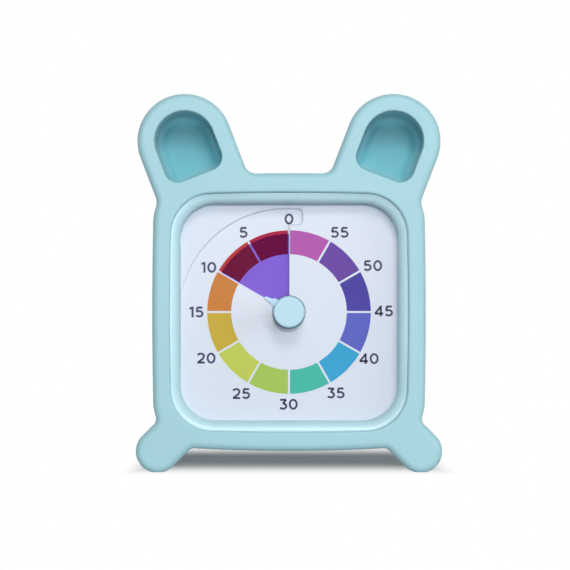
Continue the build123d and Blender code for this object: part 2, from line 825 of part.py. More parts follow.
with BuildPart() as second_wheel:
    with BuildSketch(front(second_front)):
        with Locations(second_at):
            add(gear(second_teeth, 0, rotor_angle))
    extrude(amount=-wheel_thickness)
    with BuildSketch(front(drive_front - pinion_overhang)):
        with Locations(second_at):
            add(gear(pinion_teeth, 0, second_angle + 180 + 180 / pinion_teeth))
    extrude(amount=-(wheel_step + pinion_overhang))
    with BuildSketch(front(pivot_front)):
        with Locations(second_at):
            Circle(pivot_radius)
    extrude(amount=-pivot_length)

with BuildPart() as rotor:
    with BuildSketch(front(second_front - pinion_overhang)):
        with Locations(rotor_at):
            add(gear(pinion_teeth, 0, rotor_angle + 180 + 180 / pinion_teeth))
    extrude(amount=-(magnet_step + pinion_overhang))
    with BuildSketch(front(magnet_front)):
        with Locations(rotor_at):
            Circle(magnet_radius)
    extrude(amount=-magnet_thickness)
    with BuildSketch(front(pivot_front)):
        with Locations(rotor_at):
            Circle(pivot_radius)
    extrude(amount=-pivot_length)

core_half = (coil_length + stator_arm) / 2
coil_top = (-coil_side, coil_rise + core_half)
coil_foot = (-coil_side, coil_rise - core_half)
stator_knee = (coil_radius + knee_reach - coil_side, coil_foot[1])
with BuildPart() as stator:
    with BuildSketch(front(stator_front)):
        add(bar(coil_foot, coil_top, core_width))
        add(bar(coil_top, rotor_at, stator_arm))
        add(bar(coil_foot, stator_knee, stator_arm))
        add(bar(stator_knee, rotor_at, stator_arm))
        with Locations(rotor_at):
            Circle(magnet_radius + stator_gap + stator_ring)
            Circle(magnet_radius + stator_gap, mode=Mode.SUBTRACT)
    extrude(amount=-stator_thickness)

coil_axis_y = stator_front + stator_thickness / 2
core_fit = (core_width + seat_fit, stator_thickness + seat_fit)
tube_fit = (core_fit[0] + 2 * bobbin_wall, core_fit[1] + 2 * bobbin_wall)


def coil_plane(up):
    """Plane across the coil's axis at a height above the dial's centre."""
    return Plane(origin=(-coil_side, coil_axis_y, dial_height + up), z_dir=(0, 0, 1))


with BuildPart() as coil_bobbin:
    with BuildSketch(coil_plane(coil_rise - coil_length / 2)):
        Rectangle(*tube_fit)
        Rectangle(*core_fit, mode=Mode.SUBTRACT)
    extrude(amount=coil_length)
    for end in (-coil_length / 2, coil_length / 2 - bobbin_wall):
        with BuildSketch(coil_plane(coil_rise + end)):
            Circle(coil_radius)
            Rectangle(*core_fit, mode=Mode.SUBTRACT)
        extrude(amount=bobbin_wall)

with BuildPart() as coil_winding:
    with BuildSketch(coil_plane(coil_rise - coil_length / 2 + bobbin_wall)):
        Circle(coil_radius - seat_fit)
        Rectangle(*tube_fit, mode=Mode.SUBTRACT)
    extrude(amount=coil_length - 2 * bobbin_wall)

# ==== Back cover with the battery tub =============================================
door_front = case_back - door_thickness
battery_axis_y = door_front - door_rib - 2 * battery_gap - battery_radius
tub_floor = battery_axis_y - battery_radius - battery_gap
tub_width = 2 * (battery_radius + battery_gap)
battery_room = spring_room + battery_length + battery_nub + button_height
tub_length = battery_room + 2 * contact_thickness
switch_spot = (-side_station, station_rise)
sounder_spot = (side_station, station_rise)
slot_width = slider_width + 2 * cover_fit
slot_length = slider_length + switch_travel + 2 * cover_fit
post_spots = [(side * (board_width / 2 - post_inset), board_rise) for side in (-1, 1)]
board_back = cover_front - board_depth
sounder_front = cover_front - sounder_depth
sounder_seat = sounder_radius + seat_fit

with BuildPart() as back_cover:
    with BuildSketch(front(cover_front)):
        add(shell_outline(shell_inset))
    extrude(amount=-back_thickness)
    fillet(back_cover.faces().sort_by(Axis.Y)[-1].edges(), case_round)
    # rim that plugs into the case
    with BuildSketch(front(cover_front)):
        add(shell_outline(shell_inset + case_wall + seat_fit))
        add(shell_outline(shell_inset + case_wall + seat_fit + rim_wall), mode=Mode.SUBTRACT)
        with Locations(*side_spots):
            Circle(boss_radius + 2 * seat_fit, mode=Mode.SUBTRACT)
    extrude(amount=rim_height)
    # battery tub and the rebate for its door
    with BuildSketch(front(tub_floor - tub_wall)):
        with Locations((0, -battery_drop)):
            Rectangle(tub_length + 2 * tub_wall, tub_width + 2 * tub_wall)
    extrude(amount=-(cover_front - tub_floor + tub_wall))
    with BuildSketch(front(tub_floor)):
        with Locations((0, -battery_drop)):
            Rectangle(tub_length, tub_width)
    extrude(amount=-case_depth, mode=Mode.SUBTRACT)
    with BuildSketch(front(door_front - door_seat)):
        with Locations((0, -battery_drop)):
            RectangleRounded(tub_length + 2 * door_margin, tub_width + 2 * door_margin, door_corner)
    extrude(amount=-case_depth, mode=Mode.SUBTRACT)
    # counterbored holes for the case screws
    with BuildSketch(front(cover_front)):
        with Locations(*side_spots):
            Circle(screw_radius + screw_clearance)
    extrude(amount=-back_thickness, mode=Mode.SUBTRACT)
    with BuildSketch(front(head_seat)):
        with Locations(*side_spots):
            Circle(head_radius + screw_clearance)
    extrude(amount=-back_thickness, mode=Mode.SUBTRACT)
    # sound holes, and the ring that holds the sounder
    with BuildSketch(front(cover_front)):
        with Locations(sounder_spot):
            Circle(sound_hole)
            with PolarLocations(sound_circle, sound_holes):
                Circle(sound_hole)
    extrude(amount=-back_thickness, mode=Mode.SUBTRACT)
    with BuildSketch(front(cover_front)):
        with Locations(sounder_spot):
            Circle(sounder_seat + rim_wall)
            Circle(sounder_radius - sounder_ledge, mode=Mode.SUBTRACT)
    extrude(amount=sounder_depth)
    with BuildSketch(front(sounder_front)):
        with Locations(sounder_spot):
            Circle(sounder_seat + rim_wall)
            Circle(sounder_seat, mode=Mode.SUBTRACT)
    extrude(amount=sounder_clip)
    # slot and finger recess of the sound switch
    with BuildSketch(front(cover_front)):
        with Locations(switch_spot):
            Rectangle(slot_width, slot_length)
    extrude(amount=-back_thickness, mode=Mode.SUBTRACT)
    with BuildSketch(front(case_back - recess_depth)):
        with Locations(switch_spot):
            RectangleRounded(slot_width + 2 * recess_border, slot_length + 2 * recess_border, recess_corner)
    extrude(amount=-back_thickness, mode=Mode.SUBTRACT)
    # posts for the circuit board
    with BuildSketch(front(cover_front)):
        with Locations(*post_spots):
            Circle(post_radius)
    extrude(amount=board_depth)

with BuildPart() as battery_door:
    with BuildSketch(front(door_front)):
        with Locations((0, -battery_drop)):
            RectangleRounded(
                tub_length + 2 * door_margin - 2 * door_gap,
                tub_width + 2 * door_margin - 2 * door_gap,
                door_corner - door_gap,
            )
    extrude(amount=-door_thickness)
    # snap ribs that hold the door in the tub's mouth
    with BuildSketch(front(door_front)):
        for end in (-1, 1):
            with Locations((end * (tub_length / 2 - rib_inset), -battery_drop)):
                Rectangle(door_rib, rib_length)
    extrude(amount=door_rib)
    # grip grooves
    with BuildSketch(front(case_back)):
        for groove in range(grip_count):
            with Locations((tub_length / 2 - grip_inset - grip_step * groove, -battery_drop)):
                SlotCenterToCenter(grip_length, grip_width, rotation=90)
    extrude(amount=grip_depth, mode=Mode.SUBTRACT)

case_screws = pan_screws(side_spots, head_seat, case_screw_length)


# ==== Battery and its contacts ====================================================
def battery_plane(x):
    """Plane across the battery's axis, facing its positive end."""
    return Plane(origin=(x, battery_axis_y, dial_height - battery_drop), z_dir=(1, 0, 0))


contact_face = battery_room / 2
battery_start = spring_room - contact_face
battery_end = battery_start + battery_length
with BuildPart() as battery:
    with BuildSketch(battery_plane(battery_start)):
        Circle(battery_radius)
    extrude(amount=battery_length)
    chamfer(battery.edges().filter_by(GeomType.CIRCLE), battery_edge)
    with BuildSketch(battery_plane(battery_end)):
        Circle(battery_nub_radius)
    extrude(amount=battery_nub)

with BuildPart() as battery_plus_contact:
    with BuildSketch(battery_plane(contact_face)):
        Rectangle(contact_width, contact_height)
    extrude(amount=contact_thickness)
    with BuildSketch(battery_plane(battery_end + battery_nub)):
        Circle(button_radius)
    extrude(amount=button_height)

spring_height = spring_room - 1.5 * spring_wire
with BuildPart() as battery_spring:
    with BuildLine(battery_plane(spring_wire / 2 - contact_face)) as coil_path:
        Helix(
            pitch=spring_height / spring_turns,
            height=spring_height,
            radius=spring_radius,
            direction=(1, 0, 0),
            cone_angle=spring_taper,
        )
    with BuildSketch(Plane(coil_path.line @ 0, z_dir=coil_path.line % 0)):
        RegularPolygon(spring_wire, 6)
    sweep(is_frenet=True)
    with BuildSketch(battery_plane(-tub_length / 2)):
        Rectangle(contact_width, contact_height)
    extrude(amount=contact_thickness)

# ==== Board, sounder and switch ===================================================
board_front = board_back - board_thickness
with BuildPart() as circuit_board:
    with BuildSketch(front(board_back)):
        with Locations((0, board_rise)):
            RectangleRounded(board_width, board_height, board_corner)
    extrude(amount=board_thickness)

with BuildPart() as board_parts:
    with BuildSketch(front(board_front)):
        with Locations((chip_shift, board_rise)):
            Rectangle(chip_size, chip_size)
    extrude(amount=chip_height)
    with BuildSketch(front(board_front)):
        with Locations((capacitor_shift, board_rise)):
            Circle(capacitor_radius)
    extrude(amount=capacitor_height)
    with BuildSketch(front(board_front)):
        with Locations((crystal_shift, board_rise)):
            SlotCenterToCenter(crystal_length, crystal_width, rotation=90)
    extrude(amount=crystal_width)

with BuildPart() as sounder:
    with BuildSketch(front(sounder_front)):
        with Locations(sounder_spot):
            Circle(sounder_radius)
    extrude(amount=sounder_thickness)
    with BuildSketch(front(sounder_front - sounder_thickness)):
        with Locations(sounder_spot):
            Circle(disc_radius)
    extrude(amount=disc_thickness)

switch_front = cover_front - switch_depth
with BuildPart() as switch_body:
    with BuildSketch(front(switch_front)):
        with Locations(switch_spot):
            Rectangle(slot_width + 2 * switch_border, slot_length + 2 * switch_border)
    extrude(amount=-switch_depth)
    with BuildSketch(front(switch_front + switch_wall)):
        with Locations(switch_spot):
            Rectangle(slot_width, slot_length)
    extrude(amount=-switch_depth, mode=Mode.SUBTRACT)

slider_at = (switch_spot[0], switch_spot[1] + switch_travel / 2)
slider_front = switch_front + switch_wall + cover_fit
slider_back = case_back - slider_inset
with BuildPart() as switch_slider:
    with BuildSketch(front(slider_front)):
        with Locations(slider_at):
            Rectangle(slider_width, slider_length)
    extrude(amount=-(slider_back - slider_front))
    with BuildSketch(front(slider_back)):
        for step in (-1, 0, 1):
            with Locations((slider_at[0], slider_at[1] + groove_step * step)):
                Rectangle(slider_width, slider_groove)
    extrude(amount=groove_depth, mode=Mode.SUBTRACT)

# ==== Write each piece ============================================================
pieces = {
    "sleeve": sleeve,
    "front_case": front_case,
    "lens": lens,
    "dial_frame": dial_frame,
    "dial_plate": dial_plate,
    "time_disk": time_disk,
    "disk_hub": disk_hub,
    "setting_knob": setting_knob,
    "knob_shaft": knob_shaft,
    "clutch_spring": clutch_spring,
    "chassis": chassis,
    "chassis_screws": chassis_screws,
    "movement_front": movement_front,
    "movement_rear": movement_rear,
    "movement_screws": movement_screws,
    "drive_wheel": drive_wheel,
    "second_wheel": second_wheel,
    "rotor": rotor,
    "stator": stator,
    "coil_bobbin": coil_bobbin,
    "coil_winding": coil_winding,
    "back_cover": back_cover,
    "battery_door": battery_door,
    "case_screws": case_screws,
    "battery": battery,
    "battery_plus_contact": battery_plus_contact,
    "battery_spring": battery_spring,
    "circuit_board": circuit_board,
    "board_parts": board_parts,
    "sounder": sounder,
    "switch_body": switch_body,
    "switch_slider": switch_slider,
}

os.makedirs("parts", exist_ok=True)
for name, piece in pieces.items():
    piece.part.label = name
    export_step(piece.part, f"parts/{name}.step")
print(f"{len(pieces)} pieces, dial centre {dial_height:.2f} mm above the floor")
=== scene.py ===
# %% [markdown]
# # A visual countdown timer in its soft sleeve
#
# The timer stands on two paws. A soft silicone sleeve with two ears wraps a square plastic case.
# Behind a clear lens lies a white dial with a ring of twelve coloured fields, and a tinted disk
# winds out of a slit at 12 o'clock to show the minutes that are left.
#
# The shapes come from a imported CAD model, already in metres and already in place. This notebook
# gives every piece its finish, prints the dial, and sets up the studio. A few places are measured
# on the loaded pieces first, so that the print, the finishes and the camera follow the model.

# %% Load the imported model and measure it
from math import atan2, cos, degrees, hypot, pi, radians, sin

import bpy
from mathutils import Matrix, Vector


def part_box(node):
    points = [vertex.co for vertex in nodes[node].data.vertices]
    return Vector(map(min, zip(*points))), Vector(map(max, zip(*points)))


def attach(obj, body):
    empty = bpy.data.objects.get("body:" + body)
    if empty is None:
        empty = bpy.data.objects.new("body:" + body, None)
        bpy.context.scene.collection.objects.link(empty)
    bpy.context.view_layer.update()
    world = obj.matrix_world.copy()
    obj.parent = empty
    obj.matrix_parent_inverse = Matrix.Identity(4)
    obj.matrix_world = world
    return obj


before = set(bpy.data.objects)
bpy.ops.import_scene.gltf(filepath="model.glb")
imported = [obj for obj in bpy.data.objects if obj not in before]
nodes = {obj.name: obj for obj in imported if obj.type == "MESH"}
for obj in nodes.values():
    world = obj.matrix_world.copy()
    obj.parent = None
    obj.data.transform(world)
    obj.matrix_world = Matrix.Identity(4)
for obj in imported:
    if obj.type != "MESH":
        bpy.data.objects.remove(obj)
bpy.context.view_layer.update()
scene = bpy.context.scene
MM = 0.001

knob_low, knob_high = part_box("setting_knob")
dial_x = (knob_low.x + knob_high.x) / 2
dial_z = (knob_low.z + knob_high.z) / 2
sleeve_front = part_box("sleeve")[0].y
dial_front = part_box("dial_plate")[0].y
print(f"{len(nodes)} pieces; the dial's centre is {dial_z / MM:.2f} mm above the floor")

# %% [markdown]
# ## Finishes
#
# A colour chart gives a colour as three numbers from 0 to 255. A shader wants linear light, where
# twice the number is twice the light, so one helper converts the chart's numbers. The first
# colour is the pale aqua of the case.

# %% Helper: colours
def linear(value):
    """One sRGB channel, 0 to 255, as linear light."""
    share = value / 255
    return share / 12.92 if share <= 0.04045 else ((share + 0.055) / 1.055) ** 2.4


def colour(red, green, blue):
    """An sRGB colour as the four numbers of a shader's colour socket."""
    return (linear(red), linear(green), linear(blue), 1.0)


case_aqua = colour(186, 223, 232)
print("the case's aqua in linear light:", [round(channel, 3) for channel in case_aqua[:3]])

# %% [markdown]
# ### Noise of a real size
#
# Moulded plastic and silicone are never one flat colour. A slow noise gives the faint unevenness
# of the pigment, and a fine noise gives the spark-eroded grain of the mould, which breaks up the
# highlights. An image wrapped round the piece could do that too, but it would show where its
# edges meet. Noise fills the whole space and has no edges.
#
# The noise is tied to object coordinates, in metres, so the grain has a real size and does not
# swim when the camera moves.

# %% Helpers: an empty finish, and noise for it
mottle_size = 14 * MM
mottle_detail = 4
grain_detail = 3


def new_material(name):
    """A new finish, its node tree and its main shader."""
    material = bpy.data.materials.new(name)
    material.use_nodes = True
    tree = material.node_tree
    return material, tree, tree.nodes["Principled BSDF"]


def noise(tree, size, detail):
    """Adds a noise with patches of about the given size, and gives back its value."""
    place = tree.nodes.new("ShaderNodeTexCoord")
    texture = tree.nodes.new("ShaderNodeTexNoise")
    texture.inputs["Scale"].default_value = 1 / size
    texture.inputs["Detail"].default_value = detail
    tree.links.new(place.outputs["Object"], texture.inputs["Vector"])
    return texture.outputs["Fac"]


print(f"the pigment's patches are about {mottle_size / MM:.0f} mm across")

# %% [markdown]
# ### A moulded surface
#
# One helper builds every moulded finish from these two noises. The slow one mixes a slightly
# darker and a slightly lighter tone. The fine one makes the roughness uneven and, through a bump
# node, tilts the surface a little from grain to grain. Each call says how its own material
# differs: tone, roughness, size and height of the grain. The case's plastic is the first.

# %% Helper: a moulded finish with grain
mottle_ends = (0.3, 0.7)


def scaled(tone, factor):
    """The same colour, darker or lighter."""
    return tuple(min(1.0, channel * factor) for channel in tone[:3]) + (1.0,)


def moulded(name, tone, roughness, grain_mm, bump_mm, mottle=0.03, spread=0.08, metallic=0.0):
    """Moulded or rolled surface: mottled tone, uneven roughness and a fine grain in relief."""
    material, tree, shader = new_material(name)
    shader.inputs["Metallic"].default_value = metallic

    tones = tree.nodes.new("ShaderNodeValToRGB")
    for stop, position, factor in zip(tones.color_ramp.elements, mottle_ends, (1 - mottle, 1 + mottle)):
        stop.position = position
        stop.color = scaled(tone, factor)
    tree.links.new(noise(tree, mottle_size, mottle_detail), tones.inputs["Fac"])
    tree.links.new(tones.outputs["Color"], shader.inputs["Base Color"])

    grain = noise(tree, grain_mm * MM, grain_detail)
    rough = tree.nodes.new("ShaderNodeMapRange")
    rough.inputs["To Min"].default_value = roughness - spread / 2
    rough.inputs["To Max"].default_value = roughness + spread / 2
    tree.links.new(grain, rough.inputs["Value"])
    tree.links.new(rough.outputs["Result"], shader.inputs["Roughness"])
    bump = tree.nodes.new("ShaderNodeBump")
    bump.inputs["Strength"].default_value = 1.0
    bump.inputs["Distance"].default_value = bump_mm * MM
    tree.links.new(grain, bump.inputs["Height"])
    tree.links.new(bump.outputs["Normal"], shader.inputs["Normal"])
    return material


case_plastic = moulded("case_plastic", case_aqua, 0.34, 0.25, 0.003, mottle=0.01)
print(f"the case's plastic is made of {len(case_plastic.node_tree.nodes)} nodes")

# %% [markdown]
# ### Case, dial and knob
#
# The case is hard plastic and a little glossy. The dial is smooth satin white with a cool tint,
# and its grain is finer still. The knob and the hub behind it are one bluer plastic.
#
# A loaded piece keeps its mesh as it is. It only gets a finish, through its material slots, so
# one short helper dresses any number of pieces.

# %% The hard outer finishes
def dress(material, *names):
    """Gives the named pieces a finish through their material slots."""
    for name in names:
        for slot in nodes[name].material_slots:
            slot.material = material
    return len(names)


dial_white = moulded("dial_white", colour(207, 215, 227), 0.42, 0.2, 0.002, mottle=0.008)
knob_plastic = moulded("knob_plastic", colour(168, 208, 224), 0.38, 0.25, 0.003, mottle=0.01)
dressed = dress(case_plastic, "front_case", "back_cover", "battery_door", "dial_frame")
dressed += dress(dial_white, "dial_plate")
dressed += dress(knob_plastic, "setting_knob", "disk_hub")
print(f"{dressed} of {len(nodes)} pieces dressed")

# %% [markdown]
# ### Silicone
#
# The sleeve is matt silicone with a very fine grain. Seen at a flat angle, its skin catches a
# little extra light, so the edges look soft. Real scattering inside the material would be slow
# to render and would hardly show at this size, so a weak sheen stands in for it.

# %% The sleeve's silicone
silicone_sheen = 0.15
silicone = moulded("sleeve_silicone", colour(161, 208, 217), 0.55, 0.35, 0.006, mottle=0.012)
sleeve_tree = silicone.node_tree
sleeve_shader = sleeve_tree.nodes["Principled BSDF"]
sleeve_shader.inputs["Sheen Weight"].default_value = silicone_sheen
dressed += dress(silicone, "sleeve")
print(f"{dressed} of {len(nodes)} pieces dressed")

# %% [markdown]
# ### Sums inside a finish
#
# The hollow of each ear is the deepest part of the sleeve. Its deeper tone is painted shade: darker and
# more saturated where the hollow lies in shadow, most of all in its upper half. Painted vertices could
# carry that shade, but they need many points, and the sleeve's mesh stays as it is. Math nodes can work
# out where a point lies instead. They start from object coordinates, so the painted shade stays with
# the sleeve when it is pulled off.
#
# Three helpers add such nodes. Each gives back its output, which the next one takes in.

# %% Helpers: math nodes
def chain(tree, operation, first, second):
    """Adds a math node; each input is an output socket or a plain number."""
    node = tree.nodes.new("ShaderNodeMath")
    node.operation = operation
    for socket, value in zip(node.inputs, (first, second)):
        if isinstance(value, (int, float)):
            socket.default_value = value
        else:
            tree.links.new(value, socket)
    return node.outputs["Value"]


def map_value(tree, value, start, end, smooth=True):
    """0 at the start value and 1 at the end value, with a smooth or a straight run between."""
    step = tree.nodes.new("ShaderNodeMapRange")
    step.interpolation_type = "SMOOTHSTEP" if smooth else "LINEAR"
    step.inputs["From Min"].default_value = start
    step.inputs["From Max"].default_value = end
    tree.links.new(value, step.inputs["Value"])
    return step.outputs["Result"]


def own_place(tree):
    """X, Y and Z of a point in its own piece, in metres."""
    place = tree.nodes.new("ShaderNodeTexCoord")
    split = tree.nodes.new("ShaderNodeSeparateXYZ")
    tree.links.new(place.outputs["Object"], split.inputs["Vector"])
    return [split.outputs[axis] for axis in "XYZ"]


sleeve_x, sleeve_y, sleeve_z = own_place(sleeve_tree)
print("the silicone can now read", sleeve_x.name, sleeve_y.name, sleeve_z.name)

# %% [markdown]
# ### Where a point lies in an ear
#
# The distance from the timer's middle is taken without its sign, so one set of nodes serves both
# ears. The point is then measured from the middle of the hollow, and turned into the ear's own
# directions: across the ear, and along it.

# %% A point in the ear's own directions
ear_spread = 34.0 * MM
ear_rise = 55.7 * MM
ear_tilt = radians(21)

outward = chain(sleeve_tree, "SUBTRACT", chain(sleeve_tree, "ABSOLUTE", sleeve_x, 0.0), ear_spread)
upward = chain(sleeve_tree, "SUBTRACT", sleeve_z, dial_z + ear_rise)
across_ear = chain(sleeve_tree, "SUBTRACT", chain(sleeve_tree, "MULTIPLY", outward, cos(ear_tilt)),
                   chain(sleeve_tree, "MULTIPLY", upward, sin(ear_tilt)))
along_ear = chain(sleeve_tree, "ADD", chain(sleeve_tree, "MULTIPLY", outward, sin(ear_tilt)),
                  chain(sleeve_tree, "MULTIPLY", upward, cos(ear_tilt)))
print(f"hollows {2 * ear_spread / MM:.0f} mm apart, ears tilted {degrees(ear_tilt):.0f} degrees")

# %% [markdown]
# ### How far the hollow's wall is
#
# Seen from the front, a hollow is a slot with a round top and a flat floor. One distance counts
# to its sides and round top, another to its floor, and the smaller one is the distance to the
# wall. It is positive inside the hollow.

# %% Distance to the hollow's wall
hollow_half_width = 9.3 * MM
hollow_floor = 10.8 * MM
round_from = 0.5 * MM

in_round = chain(sleeve_tree, "MAXIMUM", chain(sleeve_tree, "SUBTRACT", along_ear, round_from), 0.0)
squares = chain(sleeve_tree, "ADD", chain(sleeve_tree, "MULTIPLY", across_ear, across_ear),
                chain(sleeve_tree, "MULTIPLY", in_round, in_round))
from_middle = chain(sleeve_tree, "SQRT", squares, 0.0)
to_side = chain(sleeve_tree, "SUBTRACT", hollow_half_width, from_middle)
to_floor = chain(sleeve_tree, "ADD", along_ear, hollow_floor)
to_wall = chain(sleeve_tree, "MINIMUM", to_side, to_floor)
print(f"hollows {2 * hollow_half_width / MM:.1f} mm wide")

# %% [markdown]
# ### How much of the painted shade
#
# The painted shade comes in softly from the wall, and the wall itself takes a little under half of it.
# It also comes in softly behind the sleeve's front, and stops just past the bottom of the hollow, so
# that the rest of the sleeve keeps its plain tone.

# %% Share of the painted shade
hollow_depth = 17.0 * MM
inner_run = (-0.9 * MM, 2.6 * MM)
wall_run = (-1.6 * MM, -0.8 * MM)
wall_part = 0.45
sinking_run = (sleeve_front + 1 * MM, sleeve_front + 8 * MM)
bottom_run = (sleeve_front + hollow_depth + 2 * MM, sleeve_front + hollow_depth + 1 * MM)

on_wall = chain(sleeve_tree, "MULTIPLY", map_value(sleeve_tree, to_wall, *wall_run), wall_part)
inside = chain(sleeve_tree, "MAXIMUM", map_value(sleeve_tree, to_wall, *inner_run), on_wall)
sunken = chain(sleeve_tree, "MULTIPLY", inside, map_value(sleeve_tree, sleeve_y, *sinking_run))
shade_share = chain(sleeve_tree, "MULTIPLY", sunken, map_value(sleeve_tree, sleeve_y, *bottom_run))
print(f"hollows {hollow_depth / MM:.0f} mm deep")

# %% [markdown]
# ### The painted shade
#
# A colour ramp holds the painted shade's tones by their height above the hollow's middle, in
# millimetres, darkest in a band in the upper half. They are multiplied onto the silicone's own colour,
# so the mottle of the pigment stays visible.

# %% Painted shade up the hollow
# painted shade: these darker tones stand in for the hollow's shadow, darkest 4 to 6 mm above its middle
hollow_shade_tones = [(-8.0, (0.36, 0.75, 0.79)), (-3.0, (0.31, 0.69, 0.74)), (1.0, (0.23, 0.53, 0.59)),
                (4.3, (0.19, 0.44, 0.485)), (5.7, (0.21, 0.47, 0.51)), (7.0, (0.34, 0.66, 0.70)),
                (8.6, (0.80, 1.0, 1.0))]
lowest, highest = hollow_shade_tones[0][0], hollow_shade_tones[-1][0]

ramp = sleeve_tree.nodes.new("ShaderNodeValToRGB")
height_share = map_value(sleeve_tree, upward, lowest * MM, highest * MM, smooth=False)
sleeve_tree.links.new(height_share, ramp.inputs["Fac"])
stops = ramp.color_ramp.elements
while len(stops) < len(hollow_shade_tones):
    stops.new(0.5)  # every stop gets its own position below
for stop, (height, tone) in zip(stops, hollow_shade_tones):
    stop.position = (height - lowest) / (highest - lowest)
    stop.color = (*tone, 1.0)

# painted shade: the ramp's tones are multiplied onto the silicone's colour inside the hollows
tint = sleeve_tree.nodes.new("ShaderNodeMix")
tint.data_type = "RGBA"
tint.blend_type = "MULTIPLY"
plain_tone = sleeve_shader.inputs["Base Color"].links[0].from_socket
sleeve_tree.links.new(shade_share, tint.inputs["Factor"])
sleeve_tree.links.new(plain_tone, tint.inputs["A"])
sleeve_tree.links.new(ramp.outputs["Color"], tint.inputs["B"])
sleeve_tree.links.new(tint.outputs["Result"], sleeve_shader.inputs["Base Color"])
print(f"{len(stops)} tones over {highest - lowest:.1f} mm")

# %% [markdown]
# ### The hidden pieces
#
# Nothing of the movement shows while the case is closed, but the model can be opened. Plain
# engineering finishes are enough: acetal wheels, zinc-plated steel, copper wire, a green board.
# They are all calls of the same helper, each with the pieces that wear it.

# %% The inner finishes
steel = moulded("bright_steel", colour(196, 197, 200), 0.3, 0.12, 0.001, spread=0.14, metallic=1.0)
inner_finishes = [
    (steel, ["knob_shaft", "clutch_spring", "stator", "chassis_screws", "movement_screws",
             "case_screws", "battery_plus_contact", "battery_spring"]),
    (moulded("inner_plastic", colour(226, 229, 232), 0.45, 0.3, 0.003), ["chassis"]),
    (moulded("movement_plastic", colour(44, 45, 48), 0.4, 0.25, 0.003),
     ["movement_front", "movement_rear"]),
    (moulded("gear_plastic", colour(236, 234, 224), 0.35, 0.2, 0.002),
     ["drive_wheel", "second_wheel", "rotor", "coil_bobbin"]),
    (moulded("copper_wire", colour(196, 112, 66), 0.3, 0.06, 0.004, metallic=1.0), ["coil_winding"]),
    (moulded("battery_jacket", colour(62, 66, 74), 0.28, 0.4, 0.001), ["battery"]),
    (moulded("board_green", colour(42, 104, 66), 0.35, 0.15, 0.002), ["circuit_board"]),
    (moulded("chip_black", colour(38, 38, 40), 0.5, 0.12, 0.002), ["board_parts", "switch_body"]),
    (moulded("sounder_brass", colour(206, 176, 106), 0.28, 0.15, 0.001, metallic=1.0), ["sounder"]),
    (moulded("switch_plastic", colour(222, 224, 230), 0.36, 0.2, 0.002), ["switch_slider"]),
]
for material, names in inner_finishes:
    dressed += dress(material, *names)
print(f"{len(inner_finishes)} inner finishes; {dressed} of {len(nodes)} pieces dressed")

# %% [markdown]
# ### Lens and disk
#
# A glass shader would block the lamps' light and throw a black shadow on the dial, because light
# through refraction is hard to sample. A thin flat sheet bends light very little, so it can be a
# transparent shader with a mirror-like one on top, mixed by Fresnel. The disk is the same, with
# its film's violet tint in the transparent shader: whatever lies behind is multiplied by it. A
# low index of refraction and a limit keep the gloss faint from every side.
#
# Neither piece casts a shadow, so the lamps' light reaches the dial as through clean air. The
# light that comes back to the eye crosses two faces of the film, so the tint of one face is the
# square root of the tint that is seen. This also keeps the number of see-through faces on a ray
# small: Cycles gives up after eight, and the disk would turn black where it overlaps itself.

# %% Clear lens and tinted film
gloss_limit = 0.25


def mix_shaders(tree, share, first, second, output):
    """Leads a blend of two shaders into the output node: all first at 0, all second at 1."""
    both = tree.nodes.new("ShaderNodeMixShader")
    tree.links.new(share, both.inputs["Fac"])
    tree.links.new(first, both.inputs[1])
    tree.links.new(second, both.inputs[2])
    tree.links.new(both.outputs["Shader"], tree.nodes[output].inputs["Surface"])


def clear_sheet(name, tint, index, gloss_roughness):
    """A see-through sheet that multiplies what lies behind by its tint, with a thin gloss."""
    material, tree, shader = new_material(name)
    tree.nodes.remove(shader)
    see_through = tree.nodes.new("ShaderNodeBsdfTransparent")
    see_through.inputs["Color"].default_value = tint
    gloss = tree.nodes.new("ShaderNodeBsdfGlossy")
    gloss.inputs["Roughness"].default_value = gloss_roughness
    fresnel = tree.nodes.new("ShaderNodeFresnel")
    fresnel.inputs["IOR"].default_value = index
    share = chain(tree, "MINIMUM", fresnel.outputs["Fac"], gloss_limit)
    mix_shaders(tree, share, see_through.outputs["BSDF"], gloss.outputs["BSDF"], "Material Output")
    return material


sheets = {
    "lens": clear_sheet("clear_lens", (1.0, 1.0, 1.0, 1.0), 1.05, 0.02),
    "time_disk": clear_sheet("disk_film", (0.618, 0.46, 0.902, 1.0), 1.02, 0.15),
}
for name, material in sheets.items():
    dressed += dress(material, name)
    nodes[name].visible_shadow = False
print(f"{len(sheets)} see-through sheets; {dressed} of {len(nodes)} pieces dressed")

# %% [markdown]
# ## The printed dial
#
# The twelve fields are printed on the dial, so they have to lie on it everywhere, also where the
# dial sinks as a ramp towards the slit. A ray could look for the face at every point, but the
# dial's shape is simple, so a function gives the depth of its face instead.
#
# The ramp ends at a round wall, whose centre lies a little to the left of the dial's centre and
# below it. A notch beside the 0 is as deep as the ramp's low end.

# %% Depth of the dial's face
noon = pi / 2
ramp_pitch = 4.0 * MM
ramp_drop = 1.06 * MM
ramp_radius = 35.0 * MM
ramp_shift = 1.0 * MM
notch_width = 4.3 * MM
notch_floor = 29.0 * MM
ramp_turn = 2 * pi * ramp_drop / ramp_pitch


def dial_depth(across, up):
    """Y of the dial's face at a point given from the dial's centre."""
    turn = (atan2(up, across) - noon) % (2 * pi)
    inside = hypot(across + ramp_shift, up + ramp_shift) < ramp_radius
    if turn < ramp_turn and inside:
        return dial_front + ramp_drop - ramp_pitch * turn / (2 * pi)
    if 0 <= across < notch_width and notch_floor < up < ramp_radius - ramp_shift:
        return dial_front + ramp_drop
    return dial_front


print(f"the ramp sinks {ramp_drop / MM:.2f} mm over {degrees(ramp_turn):.0f} degrees")

# %% [markdown]
# ### Printing on the dial
#
# Ink is too thin to model as a solid, and an image of the print would blur close up. So the print is a
# thin mesh laid on the dial's face, a few hundredths of a millimetre proud. It rides on the case, as
# the dial does.

# %% Helpers: a printed piece
print_height = 0.03 * MM


